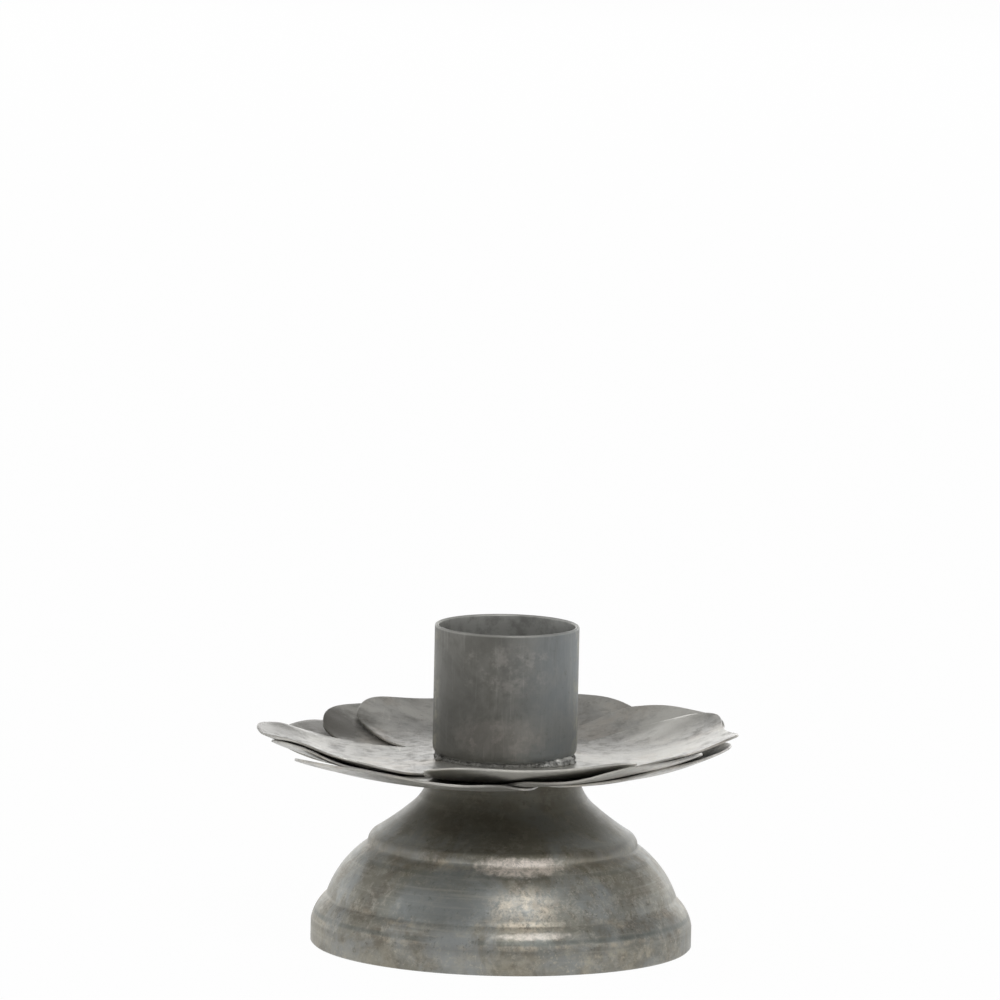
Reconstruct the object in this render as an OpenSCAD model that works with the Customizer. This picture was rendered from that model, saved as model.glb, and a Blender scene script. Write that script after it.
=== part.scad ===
// Candle holder: a straight cup on three nested rosettes of petals, over a stepped round bell base.
// One low screw draws cup, rosettes and base together, and solder seals the foot of the cup.

/* [Candle cup] */
// Outside diameter of the cup
cup_d = 25.4; // [23:0.2:30]
// Height of the cup above the flower's flat centre
cup_h = 23.5; // [16:0.5:40]
// Thickness of the cup's sheet
cup_wall = 0.7; // [0.5:0.1:1.2]
// Outside radius of the bend at the foot of the cup
cup_bend = 2.2; // [1.6:0.1:3.4]

/* [Petals] */
// Reach of a plain petal's tip from the axis
petal_reach = 43.2; // [40:0.2:48]
// Half the width of a petal
petal_half_w = 20; // [18:0.5:22]
// Share of a petal's corner that the cleft beside it takes away
cleft_share = 0.28; // [0:0.01:0.34]
// Thickness of the petals' sheet
petal_t = 0.4; // [0.3:0.05:0.8]
// Height of the dish at the tips above its flat centre
dish_rise = 3.6; // [2:0.2:6]
// Depth of the shallow trough round the flat centre
dish_dip = 0.6; // [0:0.1:1]
// Height that the dish gains on the side where it was bent up most
dish_sway = 0.9; // [0:0.1:1.6]
// Height that the tallest rolled petal edge reaches above the flat centre
curl_rise = 5.6; // [4.6:0.2:6.6]
// Depth of the deepest notch in a petal's tip
tip_notch = 3.2; // [0:0.2:4]

/* [Base] */
// Diameter of the base where it stands on the table
foot_d = 67; // [60:1:76]
// Height of the straight band at the table
band_h = 3.8; // [2:0.2:6]
// Height of the rounded shoulder above the band
shoulder_h = 4.6; // [3.6:0.2:6]
// Height of the dome from the lower notch to the bead
dome_h = 9.4; // [7:0.2:12]
// Height of the bead above the dome
bead_h = 2.1; // [1.8:0.1:3]
// Height of the flared neck above the bead
neck_h = 12.1; // [9:0.5:18]
// Thickness of the base's sheet
base_wall = 0.8; // [0.6:0.1:1.4]

/* [Fastening] */
// Thread diameter of the centre screw
screw_d = 4; // [3:0.5:5]
// Diameter of the screw's low head
screw_head_d = 9; // [8:0.5:10]
// Height of the screw's low head
screw_head_h = 1.4; // [1:0.1:1.4]
// Width across the flats of the nut
nut_flats = 7; // [7:0.5:9]
// Height of the nut
nut_h = 3.2; // [2:0.2:5]
// Thickness of the washer
washer_t = 0.8; // [0.5:0.1:1.6]
// Outside diameter of the washer
washer_d = 9; // [9:0.5:12]
// Length of thread past the nut
screw_tail = 1.3; // [0.5:0.1:4]

/* [Hidden] */

$fn = 96;
overrun = 1;

// Clearances: round the screw in the sheets, round its thread in the nut, and under the solder
hole_gap = 0.2;
thread_gap = 0.05;
solder_gap = 0.02;

// Heights of the stack, from the table up
notch_z = band_h + shoulder_h;
dome_z = notch_z + dome_h;
bead_z = dome_z + bead_h;
land_z = bead_z + neck_h;
lower_z = land_z + petal_t;
middle_z = lower_z + petal_t;
upper_z = middle_z + petal_t;
cup_floor_z = upper_z + cup_wall;

// Radii that follow from the cup: the flat centre of the petals carries its whole foot
cup_r = cup_d / 2;
flat_margin = 0.3;
flat_r = cup_r + flat_margin;
hole_r = screw_d / 2 + hole_gap;

// Radii of the base's steps, as shares of the way from the flat land to the foot
foot_r = foot_d / 2;
notch_share = 0.873;
dome_share = 0.522;
bead_share = 0.463;
slope_share = 0.137;
slope_rise_share = 0.42;
function step_r(share) = flat_r + (foot_r - flat_r) * share;

// How far each curve of the base stands off its straight chord, as a share of the chord
shoulder_bow_share = 0.09;
dome_bow_share = 0.085;
bead_bow_share = 0.16;
slope_bow_share = -0.02;
neck_bow_share = -0.1;
land_bow_share = 0.2;
land_round = 0.6;
curve_steps = 10;

// Points after a, up to b, on an arc that stands off the straight chord by that share of its length
function bow(a, b, share, steps = curve_steps) = [
    for (i = [1 : steps])
        let (
            half_turn = 2 * atan(2 * share),
            turn = half_turn * (2 * i / steps - 1),
            along = (1 + sin(turn) / sin(half_turn)) / 2,
            off = (cos(turn) - cos(half_turn)) / sin(half_turn) / 2,
            chord = b - a
        )
        a + chord * along + [chord.y, -chord.x] * off
];

// The same path moved sideways, to the left of its direction, by the thickness of the sheet
function inside_of(path, wall) = [
    for (i = [0 : len(path) - 1])
        let (
            way = path[min(i + 1, len(path) - 1)] - path[max(i - 1, 0)],
            side = [-way.y, way.x] / norm(way)
        )
        path[i] + side * wall
];

// Outside of the base, from the table up to the edge of its land
base_path = let (
    band_top = [foot_r, band_h],
    notch = [step_r(notch_share), notch_z],
    dome_top = [step_r(dome_share), dome_z],
    bead_top = [step_r(bead_share), bead_z],
    slope_top = [step_r(slope_share), bead_z + neck_h * slope_rise_share],
    neck_top = [flat_r, land_z - land_round]
) concat(
    [[foot_r, 0], band_top],
    bow(band_top, notch, shoulder_bow_share),
    bow(notch, dome_top, dome_bow_share),
    bow(dome_top, bead_top, bead_bow_share),
    bow(bead_top, slope_top, slope_bow_share),
    bow(slope_top, neck_top, neck_bow_share),
    bow(neck_top, [flat_r - land_round, land_z], land_bow_share)
);

// Petals: four to a rosette, each rosette turned a third of a petal from the next
petal_count = 4;
petal_turn = 360 / petal_count;
first_petal_at = -83.5;
columns = 24;
rows = 8;
squareness = 2.5;
dish_curve = 2.6;
trough_share = 0.79;
sway_at = -30;
sway_start_share = 0.6;
notch_width_share = 0.42;
waist_start_share = 0.66;
corner_share = 0.46;
flank_share = 0.78;

// One row per petal, anticlockwise from the front. Lifts are shares of curl_rise above the rosette's own
// flat centre: right flank, right corner, tip, left corner, left flank, seen from the axis looking out.
// A flank is a share of curl_rise above the dish. Reach and width are shares of the plain petal's,
// notches are shares of tip_notch, and swings are shares of a petal's turn.
UPPER = 0;
MIDDLE = 1;
LOWER = 2;
lift_shares = [
    [[0.21, 0.79, 0.75, 0.80, 0.25], [0.20, 0.86, 0.77, 0.93, 0.20],
     [0.21, 0.91, 0.71, 0.80, 0.11], [-0.05, 0.71, 0.89, 0.96, 0.21]],
    [[0.02, 0.43, 0.79, 0.84, 0.16], [0.11, 0.80, 1.00, 0.86, 0.09],
     [0.05, 0.54, 0.73, 0.71, 0.00], [0.00, 0.68, 0.93, 0.59, 0.00]],
    [[0.04, 0.61, 0.70, 0.64, 0.04], [0.00, 0.46, 1.09, 0.61, 0.00],
     [0.00, 0.39, 0.57, 0.63, 0.00], [0.00, 0.68, 0.79, 0.50, 0.00]]
];
reach_shares = [[1, 0.985, 1, 1.02], [1, 0.98, 1, 1], [0.935, 1, 1, 1.08]];
width_shares = [[1, 1, 1, 1], [1, 0.94, 1, 1], [1, 1, 1, 1.1]];
notch_shares = [[0.38, 1, 0.63, 0.1], [0.31, 0.31, 0.31, 0.31], [0.16, 0.31, 0.31, 0.16]];
swing_shares = [[0.028, 0.022, 0.122, 0.011], [0, -0.011, -0.067, -0.078], [0.056, 0.033, 0, -0.133]];

// How late each rosette's edges curl up, and how far its middle sags below the rosette above
curl_powers = [3, 4, 5];
sag_shares = [0, 0.045, 0.089];

// Smooth step from a to b as t goes from zero to one
function ease(a, b, t) = a + (b - a) * (1 - cos(180 * min(max(t, 0), 1))) / 2;

// Height of the shallow dish at a radius, the same for all rosettes
function dish(radius) =
    let (out_share = max((radius - flat_r) / (petal_reach - flat_r), 0))
    dish_rise * pow(out_share, dish_curve)
        - dish_dip * sin(180 * min(out_share / trough_share, 1));

// How much higher the dish stands in a direction, the same for all rosettes, so that they still nest
function sway(radius, direction) =
    let (out_share = min(max((radius - flat_r) / (petal_reach - flat_r), 0) / sway_start_share, 1))
    dish_sway * pow(sin(90 * out_share) * max(cos(direction - sway_at), 0), 2);

// A petal's outline in its own frame, x along its axis: u runs from minus one to one across its tip.
// Near both ends of that run the outline draws in to the waist, which cuts a cleft to its neighbour.
function rim(level, i, u) =
    let (
        turn = 90 * u,
        reach = petal_reach * reach_shares[level][i] - petal_half_w,
        notch = tip_notch * notch_shares[level][i] * pow(cos(90 * min(abs(u) / notch_width_share, 1)), 2),
        spread = 1 + (width_shares[level][i] - 1) * sin(180 * abs(u)),
        to_waist = max((abs(u) - waist_start_share) / (1 - waist_start_share), 0),
        kept = 1 - cleft_share * pow(to_waist, 2)
    )
    kept * [
        petal_half_w + reach * pow(cos(turn), 2 / squareness) - notch,
        petal_half_w * sign(u) * pow(abs(sin(turn)), 2 / squareness) * spread
    ];

// How far a petal's edge stands above the dish at u
function curl(level, i, u) =
    let (
        shares = lift_shares[level][i],
        stops = [-1, -flank_share, -corner_share, 0, corner_share, flank_share, 1],
        lifts = [
            0,
            curl_rise * shares[0],
            curl_rise * shares[1] - dish(norm(rim(level, i, -corner_share))),
            curl_rise * shares[2] - dish(norm(rim(level, i, 0))),
            curl_rise * shares[3] - dish(norm(rim(level, i, corner_share))),
            curl_rise * shares[4],
            0
        ],
        k = u >= 1 ? len(stops) - 2 : max([for (j = [0 : len(stops) - 2]) if (u >= stops[j]) j])
    )
    ease(lifts[k], lifts[k + 1], (u - stops[k]) / (stops[k + 1] - stops[k]));

// Direction of a petal's axis at u: it turns to meet its neighbour's edge
function petal_at(level, i, u) =
    let (
        swings = swing_shares[level] * petal_turn,
        mine = swings[i],
        next = swings[(i + (u < 0 ? petal_count - 1 : 1)) % petal_count]
    )
    first_petal_at + petal_turn * (i + level / 3) + mine + (next - mine) / 2 * pow(abs(u), 3);

// A point of a petal's upper face: u across the petal, s from the flat centre out to the rim
function petal_point(level, i, u, s) =
    let (
        start = flat_r * [cos(petal_turn / 2 * u), sin(petal_turn / 2 * u)],
        place = start + (rim(level, i, u) - start) * s,
        radius = norm(place),
        half_way = sin(180 * min(max((radius - flat_r) / (petal_reach - flat_r), 0), 1)),
        a = petal_at(level, i, u) + atan2(place.y, place.x)
    )
    [
        radius * cos(a),
        radius * sin(a),
        dish(radius) + sway(radius, a) + curl(level, i, u) * pow(s, curl_powers[level])
            - curl_rise * sag_shares[level] * sqrt(half_way)
    ];

// One rosette: a ring of columns of points, from the flat centre's edge out to the rim, over its own
// under face, with the flat centre as one face above and one below and a wall round the rim
module rosette(level, face_z) {
    ring = petal_count * columns;
    upper_face = [
        for (i = [0 : petal_count - 1])
            for (c = [0 : columns - 1])
                for (r = [0 : rows])
                    petal_point(level, i, 2 * c / columns - 1, r / rows) + [0, 0, face_z]
    ];
    under_face = [for (p = upper_face) p - [0, 0, petal_t]];
    count = len(upper_face);
    quads = [
        for (c = [0 : ring - 1])
            for (r = [0 : rows - 1])
                let (a = c * (rows + 1) + r, b = ((c + 1) % ring) * (rows + 1) + r)
                [[a, b, a + 1], [b, b + 1, a + 1]]
    ];
    difference() {
        polyhedron(
            points = concat(upper_face, under_face),
            faces = concat(
                [for (q = quads) each q],
                [for (q = quads) each [for (t = q) [t[2], t[1], t[0]] + count * [1, 1, 1]]],
                [[for (c = [ring - 1 : -1 : 0]) c * (rows + 1)]],
                [[for (c = [0 : ring - 1]) c * (rows + 1) + count]],
                [
                    for (c = [0 : ring - 1])
                        let (a = c * (rows + 1) + rows, b = ((c + 1) % ring) * (rows + 1) + rows)
                        each [[a, b, b + count], [a, b + count, a + count]]
                ]
            )
        );
        translate([0, 0, face_z - petal_t - overrun])
            cylinder(r = hole_r, h = petal_t + 2 * overrun);
    }
}

// A flat disc with a round hole, standing on height z
module ring(outer_r, inner_r, z, h) {
    translate([0, 0, z])
        difference() {
            cylinder(r = outer_r, h = h);
            translate([0, 0, -overrun])
                cylinder(r = inner_r, h = h + 2 * overrun);
        }
}

// Round foot, spun from one sheet over a former and open underneath
module base_bell() {
    sheet = inside_of(base_path, base_wall);
    band_inside = [[foot_r - base_wall, 0], [foot_r - base_wall, band_h]];
    inside = concat(band_inside, [for (i = [2 : len(sheet) - 1]) sheet[i]]);
    color([0.27, 0.26, 0.23])
        rotate_extrude()
            polygon(concat(
                base_path,
                [[hole_r, land_z], [hole_r, land_z - base_wall]],
                [for (i = [len(inside) - 1 : -1 : 0]) inside[i]]
            ));
}

module lower_petals() {
    color([0.62, 0.60, 0.56])
        rosette(LOWER, lower_z);
}

module middle_petals() {
    color([0.66, 0.64, 0.60])
        rosette(MIDDLE, middle_z);
}

module upper_petals() {
    color([0.74, 0.72, 0.67])
        rosette(UPPER, upper_z);
}

// Quarter of the bend at the foot of the cup, from the flat floor up to the straight wall
function foot_bend(radius, steps = curve_steps) = [
    for (i = [0 : steps])
        let (turn = 90 * i / steps)
        [cup_r - cup_bend + radius * sin(turn), upper_z + cup_bend - radius * cos(turn)]
];

// Straight drawn cup with a rounded foot, a rolled lip and a hole for the screw in its floor
module candle_cup() {
    lip_r = cup_wall / 2;
    lip_z = upper_z + cup_h - lip_r;
    color([0.45, 0.44, 0.42])
        rotate_extrude()
            polygon(concat(
                [[hole_r, upper_z]],
                foot_bend(cup_bend),
                [
                    for (i = [0 : curve_steps])
                        let (turn = 180 * i / curve_steps)
                        [cup_r - lip_r + lip_r * cos(turn), lip_z + lip_r * sin(turn)]
                ],
                [
                    for (i = [curve_steps : -1 : 0])
                        foot_bend(cup_bend - cup_wall)[i]
                ],
                [[hole_r, cup_floor_z]]
            ));
}

// Solder drawn into the corner under the cup's bend, with a ragged run of lumps at the right front and a
// drop at the left
module solder_bead() {
    toe_share = 0.1;
    top_share = 0.31;
    shy_share = 0.62;
    hollow_share = -0.14;
    lump_ats = [-60, -54, -48, -41, -35, -28, -22, 205];
    lump_shares = [0.28, 0.40, 0.46, 0.54, 0.50, 0.55, 0.40, 0.36];
    bend_r = cup_bend + solder_gap;
    toe_r = cup_r - cup_bend * toe_share;
    inner_r = cup_r - cup_bend * shy_share;
    top_z = upper_z + cup_bend * top_share;
    wet = [for (p = foot_bend(bend_r)) if (p.x > inner_r && p.y < top_z) p];
    color([0.80, 0.78, 0.73])
        difference() {
            union() {
                rotate_extrude()
                    polygon(concat(
                        [[wet[0].x, upper_z]],
                        [[toe_r, upper_z]],
                        bow([toe_r, upper_z], wet[len(wet) - 1], hollow_share),
                        [for (i = [len(wet) - 2 : -1 : 0]) wet[i]]
                    ));
                for (i = [0 : len(lump_ats) - 1])
                    rotate([0, 0, lump_ats[i]])
                        translate([toe_r, 0, upper_z])
                            sphere(r = cup_bend * lump_shares[i]);
            }
            translate([0, 0, upper_z - cup_r])
                cylinder(r = 2 * cup_r, h = cup_r);
            rotate_extrude()
                polygon(concat(
                    [[0, upper_z - overrun], [cup_r - cup_bend, upper_z - overrun]],
                    foot_bend(bend_r),
                    [[cup_r + solder_gap, upper_z + cup_h], [0, upper_z + cup_h]]
                ));
        }
}

// Low slotted screw: its head lies on the floor of the cup
module centre_screw() {
    slot_w_share = 0.25;
    slot_depth_share = 0.5;
    crown_share = 0.55;
    shank_r = screw_d / 2;
    head_r = screw_head_d / 2;
    end_z = land_z - base_wall - washer_t - nut_h - screw_tail;
    point_h = screw_d / 8;
    color([0.55, 0.54, 0.50])
        difference() {
            rotate_extrude()
                polygon(concat(
                    [[0, end_z], [shank_r - point_h, end_z], [shank_r, end_z + point_h]],
                    [[shank_r, cup_floor_z], [head_r, cup_floor_z]],
                    [
                        for (i = [0 : curve_steps])
                            let (turn = 90 * i / curve_steps, rise = screw_head_h * crown_share)
                            [
                                head_r * cos(turn),
                                cup_floor_z + screw_head_h - rise + rise * sin(turn)
                            ]
                    ]
                ));
            translate([
                -head_r - overrun,
                -screw_d * slot_w_share / 2,
                cup_floor_z + screw_head_h * (1 - slot_depth_share)
            ])
                cube([2 * (head_r + overrun), screw_d * slot_w_share, screw_head_h]);
        }
}

// Plain washer under the land of the base
module washer() {
    color([0.60, 0.59, 0.55])
        ring(washer_d / 2, hole_r, land_z - base_wall - washer_t, washer_t);
}

// Hexagon nut that draws the stack together
module hex_nut() {
    nut_z = land_z - base_wall - washer_t - nut_h;
    color([0.56, 0.54, 0.48])
        translate([0, 0, nut_z])
            difference() {
                cylinder(r = nut_flats / sqrt(3), h = nut_h, $fn = 6);
                translate([0, 0, -overrun])
                    cylinder(r = screw_d / 2 + thread_gap, h = nut_h + 2 * overrun);
            }
}

base_bell();
lower_petals();
middle_petals();
upper_petals();
candle_cup();
solder_bead();
centre_screw();
washer();
hex_nut();
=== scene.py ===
import math

import bmesh
import bpy
from mathutils import Matrix, Vector


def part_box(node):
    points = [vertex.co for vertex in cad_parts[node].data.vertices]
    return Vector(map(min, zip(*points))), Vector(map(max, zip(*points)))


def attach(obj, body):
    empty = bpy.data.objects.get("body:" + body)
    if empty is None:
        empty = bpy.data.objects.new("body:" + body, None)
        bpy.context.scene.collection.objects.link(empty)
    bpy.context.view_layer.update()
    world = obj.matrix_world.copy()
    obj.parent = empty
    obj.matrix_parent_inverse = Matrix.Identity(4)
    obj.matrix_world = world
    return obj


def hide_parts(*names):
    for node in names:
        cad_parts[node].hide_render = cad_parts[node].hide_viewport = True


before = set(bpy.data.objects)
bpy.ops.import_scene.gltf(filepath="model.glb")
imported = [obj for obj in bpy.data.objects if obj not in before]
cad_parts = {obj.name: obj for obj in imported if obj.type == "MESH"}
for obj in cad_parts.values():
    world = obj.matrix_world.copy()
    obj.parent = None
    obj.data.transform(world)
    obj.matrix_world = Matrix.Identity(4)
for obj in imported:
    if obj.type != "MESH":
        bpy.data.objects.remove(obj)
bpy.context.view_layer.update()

# Camera: a long lens a little above the table, at the photograph's viewing angle.
# The frame is 1000 pixels square. The foot's centre falls low in it, and the picture leans a little.
SENSOR = 36.0
FRAME_PIXELS = 1000
FOCAL_PIXELS = 15620
FOOT_PIXEL = Vector((500.6, 943.0))
CAMERA_DISTANCE = 2.75
CAMERA_ELEVATION = math.radians(10.0)
PICTURE_LEAN = math.radians(1.2)
FAR_CLIP = 20.0


def square_frame(first, second):
    """Three square directions: the first as given, and the second as near as it can be."""
    first = first.normalized()
    second = (second - first * second.dot(first)).normalized()
    return Matrix((first, second, first.cross(second))).transposed()


def in_scene(name, data):
    """A new object in the scene, at the origin."""
    made = bpy.data.objects.new(name, data)
    bpy.context.scene.collection.objects.link(made)
    return made


to_foot = Vector((0, math.cos(CAMERA_ELEVATION), -math.sin(CAMERA_ELEVATION)))
foot_in_view = Vector((
    (FOOT_PIXEL.x - FRAME_PIXELS / 2) / FOCAL_PIXELS,
    (FRAME_PIXELS / 2 - FOOT_PIXEL.y) / FOCAL_PIXELS,
    -1,
))
up_in_view = Vector((math.sin(PICTURE_LEAN), math.cos(PICTURE_LEAN), 0))
table_view = square_frame(to_foot, Vector((0, 0, 1)))
lens_view = square_frame(foot_in_view, up_in_view)
camera = in_scene("camera", bpy.data.cameras.new("camera"))
camera.data.sensor_width = SENSOR
camera.data.lens = SENSOR * FOCAL_PIXELS / FRAME_PIXELS
camera.data.clip_end = FAR_CLIP
camera_turn = table_view @ lens_view.transposed()
camera.matrix_world = Matrix.Translation(-to_foot * CAMERA_DISTANCE) @ camera_turn.to_4x4()
bpy.context.scene.camera = camera
bpy.context.scene.view_settings.view_transform = "Standard"

# Light: a white studio with a bright wall behind the table, a dim ceiling and a dim room in front.
# One soft box stands high at the front, weaker ones at the left and right, and a low wide one behind.
WALL_LIGHT = 1.22
ROOM_LIGHT = 0.40
CEILING_LIGHT = 0.30
WALL_LEFT_GAIN = 1.12
WALL_RIGHT_LOSS = 0.24
# Each pair says where one part of the room starts to fade into the next and where the fade is done, in
# directions that run from -1 to 1 on each axis. The wall is a little brighter at its left.
WALL_TOWARD_BACK = (-0.35, 0.75)
WALL_TOWARD_RIGHT = (-0.1, 0.8)
WALL_TOP = (0.12, 0.50)
CEILING_EDGE = (0.3, 0.9)


class Wire:
    """What comes out of a node. Sums and products of wires add Math nodes to the tree."""

    def __init__(self, maker, socket):
        self.maker = maker
        self.socket = socket

    def math(self, operation, *values):
        inputs = dict(enumerate((self, *values)))
        return self.maker.node("ShaderNodeMath", {"operation": operation}, inputs)

    def also(self, name):
        """Another output of the same node."""
        return Wire(self.maker, self.socket.node.outputs[name])

    def between(self, low, high):
        """Zero below low, one above high, and a smooth step from one to the other."""
        inputs = {"Value": self, "From Min": low, "From Max": high}
        return self.maker.node("ShaderNodeMapRange", {"interpolation_type": "SMOOTHSTEP"}, inputs)

    def __add__(self, other):
        return self.math("ADD", other)

    def __radd__(self, other):
        return self + other

    def __sub__(self, other):
        return self.math("SUBTRACT", other)

    def __rsub__(self, other):
        return self * -1 + other

    def __mul__(self, other):
        return self.math("MULTIPLY", other)

    def __rmul__(self, other):
        return self * other

    def __truediv__(self, other):
        return self.math("DIVIDE", other)

    def __pow__(self, other):
        return self.math("POWER", other)

    def __abs__(self):
        return self.math("ABSOLUTE")


class Maker:
    """Adds nodes to one tree: a type, its settings, then its sockets' values or wires."""

    def __init__(self, tree):
        self.tree = tree
        tree.nodes.clear()

    def node(self, kind, settings=None, inputs=None, out=0):
        made = self.tree.nodes.new(kind)
        for name, value in (settings or {}).items():
            setattr(made, name, value)
        for name, value in (inputs or {}).items():
            if isinstance(value, Wire):
                self.tree.links.new(value.socket, made.inputs[name])
            else:
                made.inputs[name].default_value = value
        return Wire(self, made.outputs[out]) if len(made.outputs) else None

    def colours(self, share, first, second):
        """A colour between two others."""
        settings = {"data_type": "RGBA", "clamp_factor": True}
        return self.node("ShaderNodeMix", settings, {0: share, 6: first, 7: second}, out=2)


world = bpy.data.worlds.new("studio")
bpy.context.scene.world = world
world.use_nodes = True
studio = Maker(world.node_tree)
direction = studio.node("ShaderNodeTexCoord", out="Generated")
toward = studio.node("ShaderNodeSeparateXYZ", inputs={0: direction})
right, back, up = (toward.also(axis) for axis in "XYZ")
at_back = back.between(*WALL_TOWARD_BACK)
low_down = 1 - up.between(*WALL_TOP)
evenness = WALL_LEFT_GAIN - right.between(*WALL_TOWARD_RIGHT) * WALL_RIGHT_LOSS
level = at_back * low_down * evenness * (WALL_LIGHT - ROOM_LIGHT) + ROOM_LIGHT
level = level - up.between(*CEILING_EDGE) * (ROOM_LIGHT - CEILING_LIGHT)
seen = studio.node("ShaderNodeLightPath", out="Is Camera Ray")
shown = studio.node("ShaderNodeMix", {"data_type": "FLOAT"}, {0: seen, 2: level, 3: 1.0})
glow = studio.node("ShaderNodeBackground", inputs={"Color": (1, 1, 1, 1), "Strength": shown})
studio.node("ShaderNodeOutputWorld", inputs={"Surface": glow})

for name, place, width, depth, power in (
    ("front_box", (0.24, -0.68, 0.84), 0.28, 0.42, 3.0),
    ("left_box", (-1.0, -0.2, 0.6), 0.5, 0.9, 1.5),
    ("right_box", (1.0, -0.6, 0.5), 0.5, 0.5, 0.8),
    ("back_box", (0.1, 1.4, 0.25), 1.6, 0.4, 2.5),
):
    box = in_scene(name, bpy.data.lights.new(name, "AREA"))
    box.data.shape = "RECTANGLE"
    box.data.size = width
    box.data.size_y = depth
    box.data.energy = power
    box.location = place
    box.rotation_euler = (-Vector(place)).to_track_quat("-Z", "Y").to_euler()

# Floor: a plain pale table, wide enough to fill the picture behind the object.
# To the camera and in the metal it shows as white paper, with a trace of the object's shadow.
FLOOR_HALF = 5.0
FLOOR_GREY = (0.86, 0.86, 0.86, 1)
PAPER_WHITE = (1, 1, 1, 1)
WHITE_SHARE = 0.98

floor_mesh = bpy.data.meshes.new("floor")
corners = [(x * FLOOR_HALF, y * FLOOR_HALF, 0) for x, y in ((-1, -1), (1, -1), (1, 1), (-1, 1))]
floor_mesh.from_pydata(corners, [], [(0, 1, 2, 3)])
floor = in_scene("floor", floor_mesh)
floor_paint = bpy.data.materials.new("floor_paint")
floor_paint.use_nodes = True
paint = Maker(floor_paint.node_tree)
matt = paint.node("ShaderNodeBsdfDiffuse", inputs={"Color": FLOOR_GREY})
white = paint.node("ShaderNodeEmission", inputs={"Color": PAPER_WHITE, "Strength": 1.0})
seen = paint.node("ShaderNodeLightPath", out="Is Camera Ray")
seen = seen + seen.also("Is Glossy Ray")
both = paint.node("ShaderNodeMixShader", inputs={0: seen * WHITE_SHARE, 1: matt, 2: white})
paint.node("ShaderNodeOutputMaterial", inputs={"Surface": both})
floor_mesh.materials.append(floor_paint)

# Base: one round sheet spun over a former into a band, a shoulder, a dome, a bead and a flared neck,
# open underneath. It is plated, then darkened, and its edges and steps are rubbed pale.
# Highlights, sheen and shade are also painted into its colour.
bell_low, bell_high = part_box("base_bell")
FOOT_R = (bell_high.x - bell_low.x) / 2
LAND_Z = bell_high.z
BASE_WALL = 0.0008
BAND_H = 0.0038
SHOULDER_H = 0.0046
DOME_H = 0.0094
BEAD_H = 0.0021
LAND_ROUND = 0.0006
RIM_ROUND = 0.0003
FLAT_R = 0.013
HOLE_R = 0.0022
# How far out each step stands, as a share of the way from the neck to the foot.
NOTCH_SHARE = 0.873
DOME_SHARE = 0.522
BEAD_SHARE = 0.463
SLOPE_SHARE = 0.137
SLOPE_RISE_SHARE = 0.42
# How far the shoulder, dome, bead, slope and neck stand off their chords, as shares of the chords.
STEP_BOW_SHARES = (0.09, 0.085, 0.16, -0.02, -0.1)
LAND_BOW_SHARE = 0.2
ARC_STEPS = 14
LAND_STEPS = 4
SPIN_STEPS = 256


def arc(start, end, bow, steps):
    """Points after start, up to end, on an arc that stands off its chord by bow times its length."""
    half = 2 * math.atan(2 * bow)
    chord = end - start
    side = Vector((chord.y, -chord.x))
    points = []
    for i in range(1, steps + 1):
        angle = half * (2 * i / steps - 1)
        along = (1 + math.sin(angle) / math.sin(half)) / 2
        off = (math.cos(angle) - math.cos(half)) / math.sin(half) / 2
        points.append(start + chord * along + side * off)
    return points


def sheet_inside(path, wall):
    """The path moved to the left of its direction by the thickness of the sheet."""
    moved = []
    for i, point in enumerate(path):
        way = (path[min(i + 1, len(path) - 1)] - path[max(i - 1, 0)]).normalized()
        moved.append(point + Vector((-way.y, way.x)) * wall)
    return moved


def spun(name, profile):
    """A closed outline in (radius, height), spun round the axis into a closed smooth shell."""
    made = bmesh.new()
    rings = []
    for step in range(SPIN_STEPS):
        angle = 2 * math.pi * step / SPIN_STEPS
        ring = [(p.x * math.cos(angle), p.x * math.sin(angle), p.y) for p in profile]
        rings.append([made.verts.new(place) for place in ring])
    for here, there in zip(rings, rings[1:] + rings[:1]):
        for i in range(len(profile)):
            j = (i + 1) % len(profile)
            made.faces.new((here[i], there[i], there[j], here[j])).smooth = True
    bmesh.ops.recalc_face_normals(made, faces=made.faces)
    mesh = bpy.data.meshes.new(name)
    made.to_mesh(mesh)
    made.free()
    return in_scene(name, mesh)


def step_r(share):
    """The radius at a share of the way from the neck to the foot."""
    return FLAT_R + (FOOT_R - FLAT_R) * share


notch_z = BAND_H + SHOULDER_H
dome_z = notch_z + DOME_H
bead_z = dome_z + BEAD_H
slope_z = bead_z + (LAND_Z - bead_z) * SLOPE_RISE_SHARE
step_edges = [
    Vector((FOOT_R, BAND_H)),
    Vector((step_r(NOTCH_SHARE), notch_z)),
    Vector((step_r(DOME_SHARE), dome_z)),
    Vector((step_r(BEAD_SHARE), bead_z)),
    Vector((step_r(SLOPE_SHARE), slope_z)),
    Vector((FLAT_R, LAND_Z - LAND_ROUND)),
]
land_edge = Vector((FLAT_R - LAND_ROUND, LAND_Z))
outside = [Vector((FOOT_R - RIM_ROUND, 0)), Vector((FOOT_R, RIM_ROUND)), step_edges[0]]
for start, end, bow in zip(step_edges, step_edges[1:], STEP_BOW_SHARES):
    outside += arc(start, end, bow, ARC_STEPS)
outside += arc(step_edges[-1], land_edge, LAND_BOW_SHARE, LAND_STEPS)
inside = sheet_inside(outside[1:], BASE_WALL)
inside[0] = Vector((FOOT_R - BASE_WALL, RIM_ROUND))
hole = [Vector((HOLE_R, LAND_Z)), Vector((HOLE_R, LAND_Z - BASE_WALL))]
base = spun("base", outside + hole + inside[::-1] + [Vector((FOOT_R - BASE_WALL + RIM_ROUND, 0))])


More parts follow.
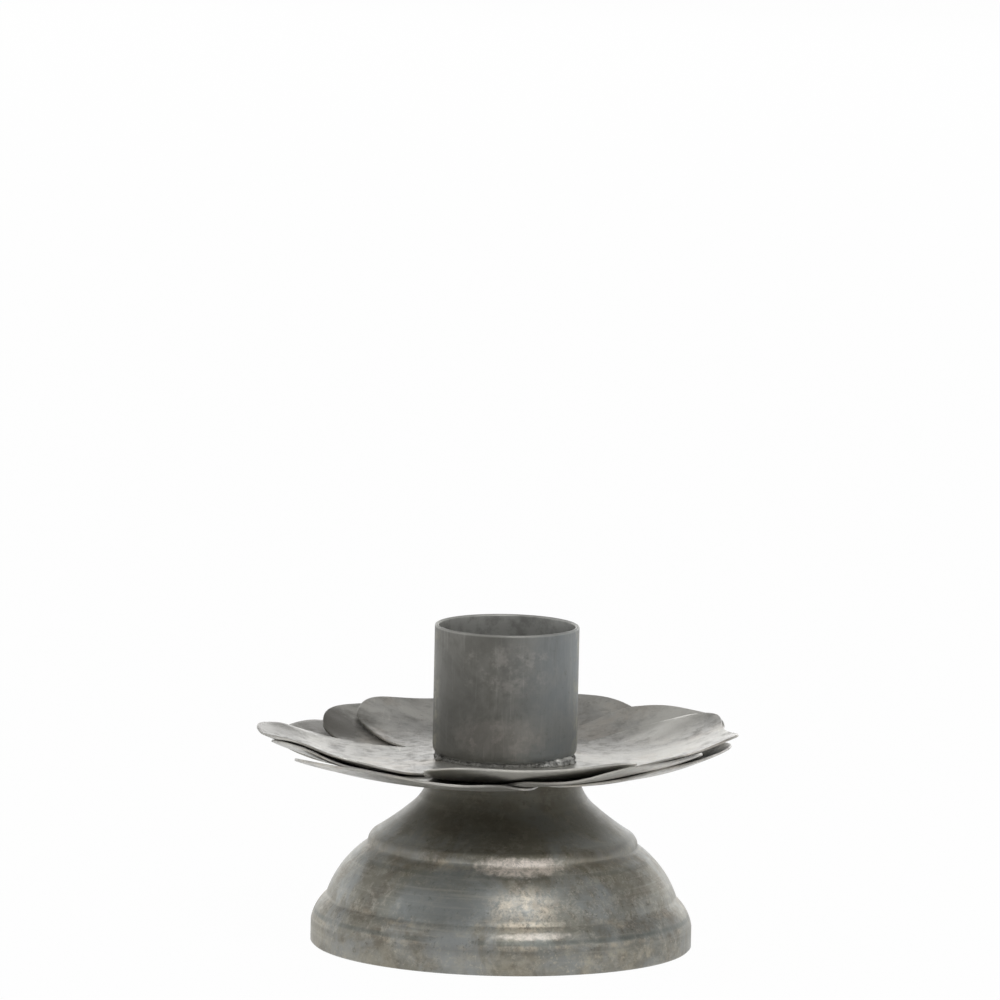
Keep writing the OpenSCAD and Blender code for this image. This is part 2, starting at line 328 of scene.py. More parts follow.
class Metal(Maker):
    """An aged metal: stains on object coordinates, laid over one another, then one Principled shader."""

    # A patch fades out between these shares of its reach. A band is whole within this share of its own.
    PATCH_FADE_SHARES = (0.6, 1.25)
    BAND_CORE_SHARE = 0.2

    def __init__(self, name):
        self.material = bpy.data.materials.new(name)
        self.material.use_nodes = True
        super().__init__(self.material.node_tree)
        self.place = self.node("ShaderNodeTexCoord", out="Object")
        axes = self.node("ShaderNodeSeparateXYZ", inputs={0: self.place})
        self.x, self.y, self.z = (axes.also(axis) for axis in "XYZ")
        self.colour = None

    def noise(self, scale, detail, rough, warp=0.0, place=None):
        """Cloudy noise round one half. The scale is in waves for each metre."""
        inputs = {"Vector": place or self.place, "Scale": scale, "Detail": detail,
                  "Roughness": rough, "Distortion": warp}
        return self.node("ShaderNodeTexNoise", inputs=inputs, out="Fac")

    def streaks(self, scales, detail, rough, warp=0.0):
        """Noise with its own scale on each axis, drawn out along the axes with the small ones."""
        place = self.node("ShaderNodeVectorMath", {"operation": "MULTIPLY"}, {0: self.place, 1: scales})
        return self.noise(1.0, detail, rough, warp, place)

    def patch(self, centre, reach, ragged, scale=350):
        """One in a ragged patch round a point, zero outside it. Centre and reach are in metres."""
        parts = [(axis - c) / r for axis, c, r in zip((self.x, self.y, self.z), centre, reach)]
        far = (parts[0] * parts[0] + parts[1] * parts[1] + parts[2] * parts[2]) ** 0.5
        far = far + (self.noise(scale, detail=6, rough=0.7) - 0.5) * ragged * 2
        return 1 - far.between(*self.PATCH_FADE_SHARES)

    def band(self, height, reach):
        """One at a height, zero past reach above and below it."""
        return 1 - abs(self.z - height).between(reach * self.BAND_CORE_SHARE, reach)

    def stain(self, share, colour):
        """Lays a colour over what the metal has, by a share from zero to one."""
        self.colour = self.colours(share, self.colour, colour)

    def finish(self, metallic, roughness, height, depth):
        """Closes the material. Height is the bump's pattern, and depth its size in metres."""
        inputs = {"Height": height, "Distance": depth, "Strength": 1.0}
        bump = self.node("ShaderNodeBump", inputs=inputs, out="Normal")
        inputs = {"Base Color": self.colour, "Metallic": metallic, "Roughness": roughness, "Normal": bump}
        shader = self.node("ShaderNodeBsdfPrincipled", inputs=inputs)
        self.node("ShaderNodeOutputMaterial", inputs={"Surface": shader})
        return self.material


SCREEN_WHITE = 255
SCREEN_GAMMA = 2.2


def tone(red, green, blue):
    """A colour as it looks on a screen, turned into a linear one."""
    return (*((part / SCREEN_WHITE) ** SCREEN_GAMMA for part in (red, green, blue)), 1.0)


# Patches of wear and of painted highlight on the base, in metres: centre, then reach on each axis.
DUSKY_DOME = (-0.0095, -0.0260, 0.0120), (0.0120, 0.0090, 0.0056)
DOME_RUB_AND_HIGHLIGHT = (0.0042, -0.0285, 0.0112), (0.0070, 0.0060, 0.0040)
BEAD_HIGHLIGHT = (0.0036, -0.0242, 0.0177), (0.0082, 0.0050, 0.0015)
SHOULDER_HIGHLIGHT = (0.0060, -0.0320, 0.0068), (0.0075, 0.0040, 0.0006)
PALE_FOOT = (0.0190, -0.0270, 0.0016), (0.0140, 0.0120, 0.0030)
# Bands round it, of wear, dirt, painted highlight and painted shade: height, then reach up and down.
DOME_TOP_RUB_AND_HIGHLIGHT = (dome_z - 0.0002, 0.0013)
NOTCH_RUB_AND_HIGHLIGHT = (notch_z - 0.0002, 0.0012)
BAND_TOP_RUB = (BAND_H + 0.0010, 0.0007)
BAND_RUB = (0.0010, 0.0036)
SHOULDER_SHADE_LINE = (BAND_H + 0.0019, 0.0006)
DOME_SHADE_LINE = (dome_z - 0.0018, 0.0005)
BEAD_GRIME = (dome_z + 0.0006, 0.0022)
# Heights between which the pale foot and its grime fade out and the neck's painted olive shade fades in.
PALE_FOOT_TOP = (0.0030, 0.0046)
FOOT_GRIME_TOP = (0.0036, 0.0056)
NECK_SHADE = (0.0185, 0.0230)
# How far from the middle grime at the left and right fades in, and how far from there the painted sheen
# fades out.
GRIMY_SIDES = (0.009, 0.017)
SHEEN_SIDES = (0.004, 0.016)


def tarnished_base():
    """Darkened plating, turned on a lathe, handled and never polished."""
    metal = Metal("base_metal")
    cloud = metal.noise(scale=70, detail=5, rough=0.62, warp=0.5)
    blotch = metal.noise(scale=230, detail=7, rough=0.72, warp=0.3)
    grain = metal.noise(scale=1000, detail=5, rough=0.75)
    lathe = metal.streaks((45, 45, 1400), detail=4, rough=0.6)
    patchy = metal.noise(scale=120, detail=6, rough=0.72).between(0.46, 0.62)
    # Clouds of blue-grey and brown, mottled pale and dark.
    metal.colour = metal.colours(cloud.between(0.38, 0.60), tone(156, 159, 158), tone(138, 135, 123))
    bluish = metal.streaks((42, 42, 75.6), detail=3, rough=0.5).between(0.48, 0.66)
    metal.stain(bluish * 0.45, tone(130, 136, 136))
    brown = blotch.between(0.45, 0.60) * cloud.between(0.40, 0.58)
    metal.stain(brown * 0.6, tone(112, 104, 93))
    mottle = metal.noise(scale=420, detail=6, rough=0.78, warp=0.4).between(0.50, 0.64)
    metal.stain(mottle * 0.45, tone(186, 182, 170))
    dark = grain.between(0.55, 0.68) * blotch.between(0.42, 0.56)
    metal.stain(dark * 0.65, tone(74, 72, 64))
    pale = metal.noise(scale=1300, detail=4, rough=0.75).between(0.54, 0.66)
    pale = pale * metal.noise(scale=180, detail=5, rough=0.7).between(0.44, 0.60)
    metal.stain(pale * 0.4, tone(206, 200, 184))
    metal.stain(metal.patch(*DUSKY_DOME, ragged=0.8) * 0.6, tone(114, 118, 116))
    streak = lathe.between(0.50, 0.72)
    metal.stain(streak * 0.30, tone(180, 177, 166))
    # Edges and high places rubbed pale. At the dome's top and at the notch, the pale bands are also painted
    # highlights.
    wear_and_highlight = metal.band(*DOME_TOP_RUB_AND_HIGHLIGHT) + metal.band(*NOTCH_RUB_AND_HIGHLIGHT) + metal.band(*BAND_TOP_RUB)
    wear_and_highlight = wear_and_highlight * patchy * grain.between(0.36, 0.56) + metal.band(*BAND_RUB) * pale * 0.6
    metal.stain(wear_and_highlight * 0.55, tone(206, 194, 174))
    # Rubbing on the front of the dome, with a painted highlight laid over it.
    rub_and_highlight = metal.patch(*DOME_RUB_AND_HIGHLIGHT, ragged=0.7)
    metal.stain(rub_and_highlight * (mottle * 0.3 + grain.between(0.38, 0.60) * 0.42), tone(208, 197, 180))
    # Painted highlights on the front of the bead and of the shoulder.
    bead_highlight = metal.patch(*BEAD_HIGHLIGHT, ragged=0.8, scale=600)
    bead_highlight = bead_highlight + metal.patch(*SHOULDER_HIGHLIGHT, ragged=1.0, scale=600) * 0.45
    flecks = metal.noise(scale=760, detail=6, rough=0.8, warp=0.5).between(0.40, 0.56)
    metal.stain(bead_highlight * (flecks * 0.5 + 0.45), tone(250, 240, 230))
    # Painted shade lines, a worn pale foot, side grime, painted side sheen and a painted olive shade on the
    # neck.
    # Painted shade: thin dark lines round the shoulder and the top of the dome.
    shade_lines = metal.band(*SHOULDER_SHADE_LINE) + metal.band(*DOME_SHADE_LINE) * 0.5
    metal.stain(shade_lines * cloud.between(0.36, 0.62) * 0.55, tone(86, 94, 92))
    foot_pale = (1 - metal.z.between(*PALE_FOOT_TOP)) * (patchy * 0.7 + pale * 0.5)
    foot_pale = foot_pale + metal.patch(*PALE_FOOT, ragged=0.9) * patchy
    metal.stain(foot_pale * 0.5, tone(190, 183, 165))
    grimy = metal.band(*BEAD_GRIME) * abs(metal.x).between(*GRIMY_SIDES) * 0.55
    grimy = grimy + (1 - metal.z.between(*FOOT_GRIME_TOP)) * blotch * 0.55
    metal.stain(grimy, tone(104, 99, 87))
    # Painted sheen: paler fringes at the left and right edges of the base.
    side_sheen = 1 - abs(metal.y).between(*SHEEN_SIDES)
    side_sheen = side_sheen * blotch.between(0.40, 0.56) * grain.between(0.40, 0.60)
    metal.stain(side_sheen * 0.22, tone(200, 196, 180))
    # Painted shade: the neck under the petals darkens to olive.
    metal.stain(metal.z.between(*NECK_SHADE) * 0.7, tone(86, 83, 72))
    rough = 0.28 + blotch * 0.24 + grain * 0.08 - streak * 0.04
    height = grain * 0.45 + blotch * 0.8 + lathe * 0.25
    return metal.finish(metallic=0.64, roughness=rough, height=height, depth=0.00007)


base.data.materials.append(tarnished_base())
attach(base, "root")
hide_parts("base_bell")

# Petals: three pressed rosettes of thin plated sheet, four petals each, laid on the base's land one over
# another and turned a third of a petal. Their edges are rolled up by hand, so each petal bends its own way.
PETAL_T = 0.0004
HALF_W = 0.020
REACH = 0.0429
FIRST_PETAL = math.radians(-83.5)
PETAL_TURN = math.pi / 2
# The outline: how square it is, its notched tip and the waist beyond which it draws in.
SQUARENESS = 2.5
TIP_NOTCH = 0.0032
NOTCH_WIDTH = 0.42
CLEFT = 0.28
WAIST = 0.66
# The dish that the petals share, deepest at a share of the way out, and its sway to one side.
DISH_RISE = 0.0036
DISH_DIP = 0.0006
DISH_CURVE = 2.6
TROUGH_SHARE = 0.79
DISH_SWAY = 0.0009
SWAY_AT = math.radians(-30)
SWAY_SHARE = 0.6
# The rolled edge: its rise, and where corners and flanks lie between the middle of the tip and the ends.
CURL_RISE = 0.0056
CORNER = 0.46
FLANK = 0.78
# How finely a petal and the flat centre are pressed, and how the sheet's seams and edges are closed.
ACROSS_POINTS = 73
ALONG_POINTS = 29
CENTRE_POINTS = 4
GRID_WELD = 0.00001
PETAL_WELD = 0.00002
EDGE_ROUND = 0.00012
EDGE_STEPS = 2
SHARP_EDGE = math.radians(60)


# The same formulas run on numbers and on wires.
def sine(angle):
    return angle.math("SINE") if isinstance(angle, Wire) else math.sin(angle)


def cosine(angle):
    return angle.math("COSINE") if isinstance(angle, Wire) else math.cos(angle)


def least(value, limit):
    return value.math("MINIMUM", limit) if isinstance(value, Wire) else min(value, limit)


def most(value, limit):
    return value.math("MAXIMUM", limit) if isinstance(value, Wire) else max(value, limit)


def sign(value):
    return value.math("SIGN") if isinstance(value, Wire) else (value > 0) - (value < 0)


def outward(radius):
    """How far out a point lies: zero on the flat centre, one at the plain petal's reach."""
    return most((radius - FLAT_R) / (REACH - FLAT_R), 0)


def dish(radius):
    """Height of the shallow dish that all the petals share."""
    out = outward(radius)
    return DISH_RISE * out ** DISH_CURVE - DISH_DIP * sine(math.pi * least(out / TROUGH_SHARE, 1))


def rim(petal, across):
    """A petal's outline in its own frame, x along its axis. Across runs from -1 to 1 over the tip.
    Near both ends it draws in to the waist, which cuts a cleft to the neighbour."""
    turn = across * math.pi / 2
    width = least(abs(across) / NOTCH_WIDTH, 1)
    notch = petal["Notch"] * cosine(width * math.pi / 2) ** 2
    spread = 1 + (petal["Spread"] - 1) * sine(abs(across) * math.pi)
    x = HALF_W + (petal["Reach"] - HALF_W) * most(cosine(turn), 0) ** (2 / SQUARENESS) - notch
    y = HALF_W * sign(across) * abs(sine(turn)) ** (2 / SQUARENESS) * spread
    kept = 1 - CLEFT * most((abs(across) - WAIST) / (1 - WAIST), 0) ** 2
    return x * kept, y * kept


LIFTS = ("Right flank", "Right corner", "Tip", "Left corner", "Left flank")
INPUT_NAMES = ("Reach", "Spread", "Notch", *LIFTS, "Axis", "Swing right", "Swing left",
               "Curl power", "Sag", "Face height")
petal_tree = bpy.data.node_groups.new("petal", "GeometryNodeTree")
for name in INPUT_NAMES:
    petal_tree.interface.new_socket(name, in_out="INPUT", socket_type="NodeSocketFloat")
petal_tree.interface.new_socket("Metal", in_out="INPUT", socket_type="NodeSocketMaterial")
petal_tree.interface.new_socket("Petal", in_out="OUTPUT", socket_type="NodeSocketGeometry")
sockets = {s.name: s.identifier for s in petal_tree.interface.items_tree if s.in_out == "INPUT"}
press = Maker(petal_tree)
given = press.node("NodeGroupInput")
plan = {name: given.also(name) for name in INPUT_NAMES}


def pressed(columns, rows, shape):
    """A flat grid, moved to where shape puts each point. Shape is told how far across the petal the
    point lies, from -1 to 1, and how far along it, from 0 to 1."""
    inputs = {"Size X": 1.0, "Size Y": 1.0, "Vertices X": columns, "Vertices Y": rows}
    grid = press.node("GeometryNodeMeshGrid", inputs=inputs)
    flat = press.node("ShaderNodeSeparateXYZ", inputs={0: press.node("GeometryNodeInputPosition")})
    across = flat * 2
    x, y, lift = shape(across, flat.also("Y") + 0.5)
    radius = (x * x + y * y) ** 0.5
    right = plan["Swing right"] * (1 - sign(across)) / 2
    left = plan["Swing left"] * (1 + sign(across)) / 2
    angle = plan["Axis"] + (right + left) * abs(across) ** 3 + y.math("ARCTAN2", x)
    swayed = sine(least(outward(radius) / SWAY_SHARE, 1) * math.pi / 2)
    sway = DISH_SWAY * (swayed * most(cosine(angle - SWAY_AT), 0)) ** 2
    place = press.node("ShaderNodeCombineXYZ", inputs={
        0: radius * cosine(angle),
        1: radius * sine(angle),
        2: lift + sway + plan["Face height"],
    })
    moved = press.node("GeometryNodeSetPosition", inputs={"Geometry": grid, "Position": place})
    return press.node("GeometryNodeFlipFaces", inputs={"Mesh": moved})


def petal_sheet(across, along):
    """A point of a petal between the flat centre and the rim, and its height over the sheet's face."""
    rim_x, rim_y = rim(plan, across)
    start_x = FLAT_R * cosine(across * PETAL_TURN / 2)
    start_y = FLAT_R * sine(across * PETAL_TURN / 2)
    x = start_x + (rim_x - start_x) * along
    y = start_y + (rim_y - start_y) * along
    radius = (x * x + y * y) ** 0.5
    stops = (-1, -FLANK, -CORNER, 0, CORNER, FLANK, 1)
    lifts = (0, *(plan[name] for name in LIFTS), 0)
    curl = 0
    for start, end, low, high in zip(stops, stops[1:], lifts, lifts[1:]):
        step = least(most((across - start) / (end - start), 0), 1)
        curl = curl + (high - low) * ((1 - cosine(step * math.pi)) / 2)
    half_way = most(sine(least(outward(radius), 1) * math.pi), 0) ** 0.5
    return x, y, dish(radius) + curl * along ** plan["Curl power"] - plan["Sag"] * half_way


def flat_centre(across, along):
    """A point of the flat centre, between the screw's hole and the petal."""
    radius = HOLE_R + (FLAT_R - HOLE_R) * along
    return radius * cosine(across * PETAL_TURN / 2), radius * sine(across * PETAL_TURN / 2), across * 0


joined = press.node("GeometryNodeJoinGeometry")
petal_part = pressed(ACROSS_POINTS, ALONG_POINTS, petal_sheet)
centre_part = pressed(ACROSS_POINTS, CENTRE_POINTS, flat_centre)
for part in (petal_part, centre_part):
    petal_tree.links.new(part.socket, joined.socket.node.inputs[0])
welded = press.node("GeometryNodeMergeByDistance", inputs={"Geometry": joined, "Distance": GRID_WELD})
real = press.node("GeometryNodeRealizeInstances", inputs={"Geometry": welded})
inputs = {"Geometry": real, "Material": given.also("Metal")}
coated = press.node("GeometryNodeSetMaterial", inputs=inputs)
press.node("NodeGroupOutput", inputs={"Petal": coated})

# Patches on the petals, in metres: centre, then reach on each axis.
HIGHLIT_FLANK = (0.0320, 0.0230, 0.0345), (0.0110, 0.0110, 0.0050)
SHADED_FAR_TIP = (-0.0410, 0.0010, 0.0380), (0.0075, 0.0150, 0.0060)
SHADED_FAR_FLANK = (-0.0310, 0.0200, 0.0365), (0.0090, 0.0100, 0.0060)
LIT_UNDER_LIP = (0.0080, -0.0390, 0.0356), (0.0230, 0.0090, 0.0036)
SHADED_LOWER_LIP = (0.0030, -0.0395, 0.0338), (0.0150, 0.0080, 0.0013)


def scuffed_petals():
    """Bright plating that has dulled in spots and taken fine scratches."""
    metal = Metal("petal_metal")
    cloud = metal.noise(scale=55, detail=5, rough=0.62, warp=0.5)
    grain = metal.noise(scale=520, detail=6, rough=0.75)
    speck = metal.noise(scale=1600, detail=3, rough=0.7)
    scratch = metal.streaks((2200, 160, 200), detail=3, rough=0.6, warp=0.6)
    cross_scratch = metal.streaks((190, 1900, 200), detail=3, rough=0.6, warp=0.8)
    # Clouds, warm and dull spots, scratches both ways, specks and scuffs.
    metal.colour = metal.colours(cloud.between(0.36, 0.66), tone(204, 202, 195), tone(170, 169, 165))
    warm = metal.noise(scale=85, detail=5, rough=0.65).between(0.50, 0.68)
    metal.stain(warm * 0.45, tone(198, 188, 174))
    dull = grain.between(0.47, 0.64) * cloud.between(0.36, 0.56)
    metal.stain(dull * 0.42, tone(134, 131, 125))
    marks = scratch.between(0.62, 0.76) + cross_scratch.between(0.64, 0.78)
    metal.stain(marks * 0.5, tone(230, 226, 216))
    metal.stain(speck.between(0.60, 0.72) * 0.4, tone(118, 114, 107))
    scuffed = metal.noise(scale=260, detail=6, rough=0.74, warp=0.6).between(0.48, 0.62)
    metal.stain(scuffed * 0.25, tone(150, 146, 139))
    # A painted highlight on one flank, and painted shade on the far tips and on the lower lip at the front.
    metal.stain(metal.patch(*HIGHLIT_FLANK, ragged=0.7) * 0.6, tone(230, 228, 220))
    # Painted shade on the far tip and flank.
    far_shade = metal.patch(*SHADED_FAR_TIP, ragged=0.6) + metal.patch(*SHADED_FAR_FLANK, ragged=0.5)
    metal.stain(far_shade, tone(116, 113, 106))
    # Painted light on the underside of the front lip, which is also made less metallic.
    lit_under_lip = metal.patch(*LIT_UNDER_LIP, ragged=0.3)
    metal.stain(lit_under_lip * 0.7, tone(190, 188, 180))
    # Painted shade on the lower lip beneath the front petal.
    metal.stain(metal.patch(*SHADED_LOWER_LIP, ragged=0.3) * 0.6, tone(112, 111, 106))
    rough = 0.29 + grain * 0.16 + dull * 0.12
    height = grain * 0.5 + cloud * 1.8 + scratch * 0.2
    metallic = 0.70 - lit_under_lip * 0.55
    return metal.finish(metallic=metallic, roughness=rough, height=height, depth=0.00006)


petal_finish = scuffed_petals()

# For each rosette: its place from the top, how late the edge curls, how far the sheet sags, as a share of
# the curl's rise, and a row for each petal, anticlockwise from the front. A row has the lifts of the right
# flank, right corner, tip, left corner and left flank, as shares of the curl's rise, and then the reach,
# spread, notch and swing, as shares of the plain petal's.
ROSETTES = {
    "upper_petals": (0, 3, 0.0, (
        (0.21, 0.79, 0.75, 0.80, 0.25, 1.0, 1.0, 0.38, 0.028),
        (0.20, 0.86, 0.77, 0.93, 0.20, 0.985, 1.0, 1.0, 0.022),
        (0.21, 0.91, 0.71, 0.80, 0.11, 1.0, 1.0, 0.63, 0.122),
        (-0.05, 0.71, 0.89, 0.96, 0.21, 1.02, 1.0, 0.10, 0.011),
    )),
    "middle_petals": (1, 4, 0.045, (
        (0.02, 0.43, 0.79, 0.84, 0.16, 1.0, 1.0, 0.31, 0.0),
        (0.11, 0.80, 1.00, 0.86, 0.09, 0.98, 0.94, 0.31, -0.011),
        (0.05, 0.54, 0.73, 0.71, 0.00, 1.0, 1.0, 0.31, -0.067),
        (0.00, 0.68, 0.93, 0.59, 0.00, 1.0, 1.0, 0.31, -0.078),
    )),
    "lower_petals": (2, 5, 0.089, (
        (0.04, 0.61, 0.70, 0.64, 0.04, 0.935, 1.0, 0.16, 0.056),
        (0.00, 0.46, 1.09, 0.61, 0.00, 1.0, 1.0, 0.31, 0.033),
        (0.00, 0.39, 0.57, 0.63, 0.00, 1.0, 1.0, 0.31, 0.0),
        (0.00, 0.68, 0.79, 0.50, 0.00, 1.08, 1.1, 0.16, -0.133),
    )),
}


def petal_settings(rows, i, layer, power, sag):
    """The tree's inputs for one petal. It swings half of the way to meet each neighbour. Its flanks are
    lifted from the dish, and its corners and tip from the flat, so the dish comes off them."""
    *lift_shares, reach, spread, notch, _ = rows[i]
    swings = [row[-1] * PETAL_TURN for row in rows]
    settings = {"Reach": REACH * reach, "Spread": spread, "Notch": TIP_NOTCH * notch}
    lifts = [CURL_RISE * share for share in lift_shares]
    for k, across in ((1, -CORNER), (2, 0), (3, CORNER)):
        lifts[k] -= dish(math.hypot(*rim(settings, across)))
    settings.update(zip(LIFTS, lifts))
    settings["Axis"] = FIRST_PETAL + PETAL_TURN * (i + layer / len(ROSETTES)) + swings[i]
    settings["Swing right"] = (swings[i - 1] - swings[i]) / 2
    settings["Swing left"] = (swings[(i + 1) % len(rows)] - swings[i]) / 2
    settings["Curl power"] = power
    settings["Sag"] = CURL_RISE * sag
    settings["Face height"] = LAND_Z + PETAL_T * (len(ROSETTES) - layer)
    return settings


def as_mesh(piece):
    """A plain mesh of an object, with its modifiers worked in."""
    return bpy.data.meshes.new_from_object(piece.evaluated_get(bpy.context.evaluated_depsgraph_get()))


def press_petal(settings):
    """The mesh that the tree makes with these inputs."""
    blank = in_scene("blank", bpy.data.meshes.new("blank"))
    press_on = blank.modifiers.new("press", "NODES")
    press_on.node_group = petal_tree
    for name, number in settings.items():
        press_on[sockets[name]] = float(number)
    press_on[sockets["Metal"]] = petal_finish
    shaped = as_mesh(blank)
    blank.modifiers.remove(press_on)
    bpy.data.objects.remove(blank)
    return shaped


for name, (layer, power, sag, rows) in ROSETTES.items():
    made = bmesh.new()
    for i in range(len(rows)):
        made.from_mesh(press_petal(petal_settings(rows, i, layer, power, sag)))
    bmesh.ops.remove_doubles(made, verts=made.verts, dist=PETAL_WELD)
    for face in made.faces:
        face.smooth = True
    mesh = bpy.data.meshes.new(name + "_sheet")
    made.to_mesh(mesh)
    made.free()
    mesh.materials.append(petal_finish)
    rosette = in_scene(name + "_sheet", mesh)
    thick = rosette.modifiers.new("sheet", "SOLIDIFY")
    thick.thickness = PETAL_T
    thick.offset = -1
    edge = rosette.modifiers.new("edge", "BEVEL")
    edge.width = EDGE_ROUND
    edge.segments = EDGE_STEPS
    edge.limit_method = "ANGLE"
    edge.angle_limit = SHARP_EDGE
    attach(rosette, "root")
    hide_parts(name)

# Cup: a drawn tube with a rounded foot, a floor and a thin rolled lip, held by the screw and by solder.
# Its plating is wiped into streaks down the sides, bluish at the right and warmer at the left.
# Painted light and shade also make the cup lighter at the right and darker at the left.
cup_low, cup_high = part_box("candle_cup")
CUP_R = (cup_high.x - cup_low.x) / 2
CUP_WALL = 0.0007
CUP_BEND = 0.0022
BEND_STEPS = 12
SIDE_STEPS = 12
LIP_STEPS = 10
# Patches on its side, in metres: centre, then reach on each axis.
SHADED_LEFT = (-0.0100, -0.0080, 0.0420), (0.0060, 0.0100, 0.0110)
PALE_UPPER = (0.0010, -0.0125, 0.0505), (0.0080, 0.0060, 0.0042)
PALE_LOWER = (-0.0012, -0.0125, 0.0385), (0.0080, 0.0060, 0.0034)
# Where painted light at the right, sheen at the edges and a glint on the lip fade in, and the painted light
# inside ends.
LIT_RIGHT_SIDE = (-0.003, 0.010)
SHEEN_EDGES = (CUP_R - 0.0015, CUP_R - 0.0001)
LIP_GLINT = (cup_high.z - 0.0005, cup_high.z - 0.0001)
LIT_INSIDE_EDGE = (CUP_R - 0.0006, CUP_R - 0.0003)


def foot_bend(radius):
    """The rounded foot's quarter turn, from the floor out to the side."""
    centre = Vector((CUP_R - CUP_BEND, cup_low.z + CUP_BEND))
    turns = [math.pi / 2 * i / BEND_STEPS for i in range(BEND_STEPS + 1)]
    return [centre + radius * Vector((math.sin(turn), -math.cos(turn))) for turn in turns]


bend_top = cup_low.z + CUP_BEND
lip_centre = Vector((CUP_R - CUP_WALL / 2, cup_high.z - CUP_WALL / 2))
lip_turns = [math.pi * i / LIP_STEPS for i in range(LIP_STEPS + 1)]
lip = [lip_centre + CUP_WALL / 2 * Vector((math.cos(turn), math.sin(turn))) for turn in lip_turns]
side_heights = [bend_top + (lip_centre.y - bend_top) * i / SIDE_STEPS for i in range(1, SIDE_STEPS)]
wall_out = [Vector((CUP_R, z)) for z in side_heights]
wall_in = [Vector((CUP_R - CUP_WALL, z)) for z in reversed(side_heights)]
cup_outside = [Vector((HOLE_R, cup_low.z))] + foot_bend(CUP_BEND) + wall_out
cup_inside = wall_in + foot_bend(CUP_BEND - CUP_WALL)[::-1] + [Vector((HOLE_R, cup_low.z + CUP_WALL))]
cup = spun("cup", cup_outside + lip + cup_inside)


def wiped_cup():
    """Plating wiped up and down, with painted light and shade on its sides and painted light inside."""
    metal = Metal("cup_metal")
    cloud = metal.noise(scale=85, detail=5, rough=0.65, warp=0.4)
    blotch = metal.noise(scale=300, detail=6, rough=0.7)
    grain = metal.noise(scale=900, detail=5, rough=0.75)
    streaks = metal.streaks((900, 900, 55), detail=5, rough=0.68)
    wide_streaks = metal.streaks((260, 260, 45), detail=4, rough=0.6)
    pale = blotch.between(0.46, 0.62)
    # Painted light and shade across the sides, clouds, wide and narrow streaks, a shaded left and dark
    # grains.
    metal.colour = metal.colours(metal.x.between(*LIT_RIGHT_SIDE), tone(110, 109, 104), tone(133, 137, 138))
    metal.stain(cloud.between(0.42, 0.62) * 0.36, tone(152, 151, 146))
    metal.stain(wide_streaks.between(0.50, 0.70) * 0.36, tone(98, 97, 94))
    metal.stain(streaks.between(0.52, 0.72) * 0.35, tone(164, 163, 158))
    metal.stain(metal.patch(*SHADED_LEFT, ragged=0.5, scale=200) * 0.35, tone(92, 92, 89))
    metal.stain(grain.between(0.56, 0.70) * 0.4, tone(104, 102, 96))
    # Pale worn patches at the front; painted sheen at the edges, light inside and a glint on the lip.
    metal.stain(metal.patch(*PALE_UPPER, ragged=0.8) * pale * 0.32, tone(184, 180, 174))
    metal.stain(metal.patch(*PALE_LOWER, ragged=0.8) * (pale * 0.35 + 0.25), tone(168, 162, 156))
    # Painted sheen along the left and right edges.
    metal.stain(abs(metal.x).between(*SHEEN_EDGES) * pale * 0.45, tone(184, 180, 158))
    # Painted light inside the cup.
    lit_inside = metal.colours(blotch.between(0.40, 0.64), tone(190, 190, 186), tone(150, 149, 145))
    in_cup = 1 - ((metal.x * metal.x + metal.y * metal.y) ** 0.5).between(*LIT_INSIDE_EDGE)
    metal.stain(in_cup * 0.75, lit_inside)
    metal.stain(metal.z.between(*LIP_GLINT) * 0.5, tone(196, 196, 190))
    rough = 0.36 + grain * 0.12 + blotch * 0.14
    height = grain * 0.3 + streaks * 0.5 + cloud * 0.6
    return metal.finish(metallic=0.66, roughness=rough, height=height, depth=0.00006)


cup.data.materials.append(wiped_cup())
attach(cup, "root")
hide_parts("candle_cup")

# Solder: a wrinkled bead run into the corner at the foot of the cup, with a heavy lump where the iron was
# lifted at the right front and a small one at the left. Its skin froze dull, but bright on the heavy lump.
# The top of the heavy lump also gets a painted highlight.
SOLDER_GRAIN = 0.00011
SOLDER_WELD = 0.000001
FLOW_SHARE = 0.5
FLOW_ROUNDS = 34
WRINKLE_DEPTH = 0.00055
WRINKLE_LENGTH = 0.0007
WRINKLE_DETAIL = 3
WRINKLE_INWARD_SHARE = 0.25
HEAVY_LUMP = (0.0097, -0.0082, 0.0338), (0.0052, 0.0052, 0.0030)
SEAT_Z = LAND_Z + PETAL_T * len(ROSETTES)
LUMP_TOP_HIGHLIGHT = (SEAT_Z + 0.0007, SEAT_Z + 0.0011)

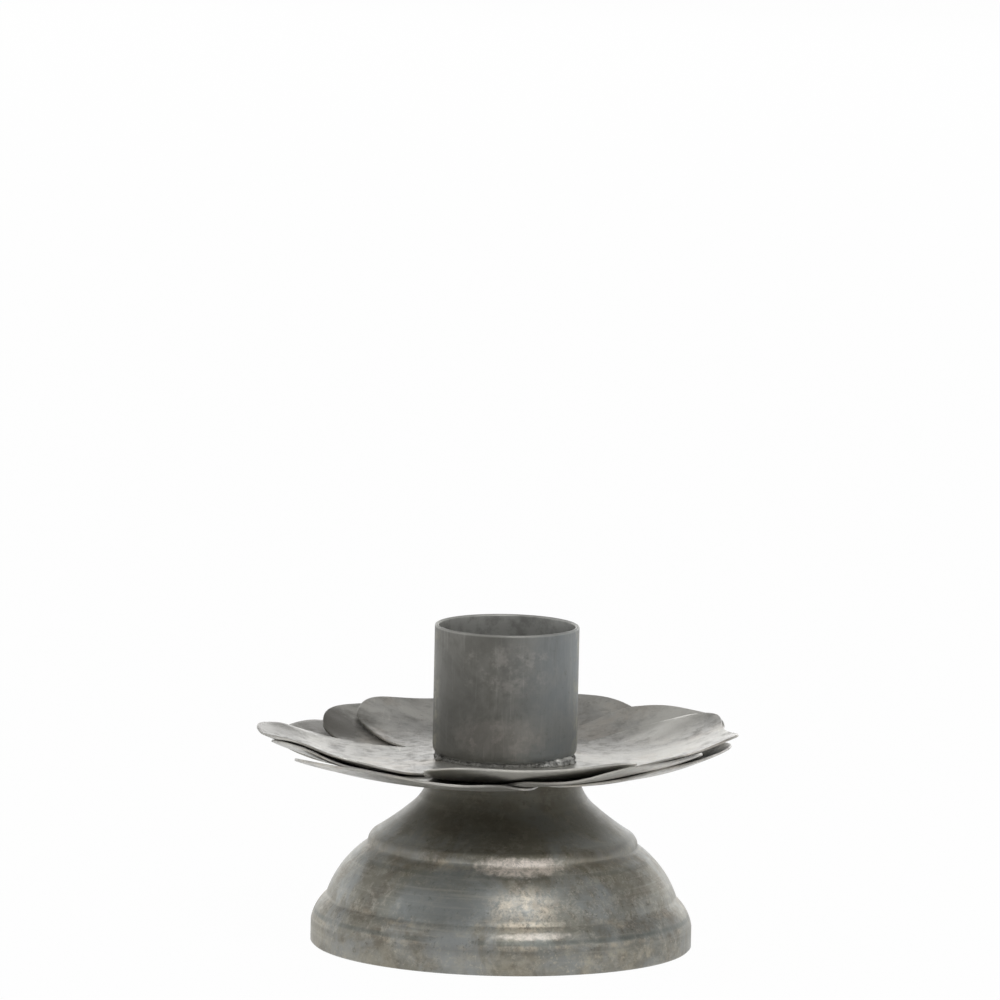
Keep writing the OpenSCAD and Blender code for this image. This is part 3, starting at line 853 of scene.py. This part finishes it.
cast = bmesh.new()
cast.from_mesh(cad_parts["solder_bead"].data)
bmesh.ops.remove_doubles(cast, verts=cast.verts, dist=SOLDER_WELD)
bead_mesh = bpy.data.meshes.new("run_solder")
cast.to_mesh(bead_mesh)
cast.free()
run_solder = in_scene("run_solder", bead_mesh)
melt = run_solder.modifiers.new("melt", "REMESH")
melt.mode = "VOXEL"
melt.voxel_size = SOLDER_GRAIN
melt.use_smooth_shade = True
flow = run_solder.modifiers.new("flow", "SMOOTH")
flow.factor = FLOW_SHARE
flow.iterations = FLOW_ROUNDS
frozen = bpy.data.textures.new("frozen_skin", "CLOUDS")
frozen.noise_scale = WRINKLE_LENGTH
frozen.noise_depth = WRINKLE_DETAIL
wrinkle = run_solder.modifiers.new("wrinkle", "DISPLACE")
wrinkle.texture = frozen
wrinkle.texture_coords = "LOCAL"
wrinkle.strength = WRINKLE_DEPTH
wrinkle.mid_level = WRINKLE_INWARD_SHARE
cooled = as_mesh(run_solder)
run_solder.modifiers.clear()
run_solder.data = cooled


def frozen_solder():
    """Solder frozen grainy, dull in the thin bead, bright in the heavy lump, with a painted highlight on
    its top.
    """
    metal = Metal("solder_metal")
    grain = metal.noise(scale=900, detail=5, rough=0.7)
    lump = metal.patch(*HEAVY_LUMP, ragged=0.3)
    lump_and_highlight = metal.colours(grain.between(0.4, 0.6), tone(112, 112, 109), tone(176, 176, 172))
    # A painted highlight along the top of the lump.
    lump_and_highlight = metal.colours(metal.z.between(*LUMP_TOP_HIGHLIGHT) * 0.7, lump_and_highlight, tone(216, 215, 209))
    metal.colour = metal.colours(grain.between(0.4, 0.65), tone(96, 95, 91), tone(126, 125, 120))
    metal.stain(lump, lump_and_highlight)
    rough = 0.40 + grain * 0.3 - lump * 0.08
    return metal.finish(metallic=0.6, roughness=rough, height=grain, depth=0.00008)


cooled.materials.append(frozen_solder())
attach(run_solder, "root")
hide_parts("solder_bead")


# Fasteners: the low slotted screw on the floor of the cup, and the washer and nut that hold it from
# inside the neck. They are bought zinc-plated steel, a little dulled.
def dulled_zinc():
    """Zinc plating with a dry bloom."""
    metal = Metal("plated_steel")
    cloud = metal.noise(scale=300, detail=5, rough=0.6)
    grain = metal.noise(scale=1400, detail=4, rough=0.7)
    metal.colour = metal.colours(cloud.between(0.4, 0.65), tone(164, 162, 152), tone(124, 121, 112))
    return metal.finish(metallic=0.85, roughness=0.34 + grain * 0.25, height=grain, depth=0.00004)


steel = dulled_zinc()
for name in ("centre_screw", "washer", "hex_nut"):
    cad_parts[name].data.materials.clear()
    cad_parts[name].data.materials.append(steel)
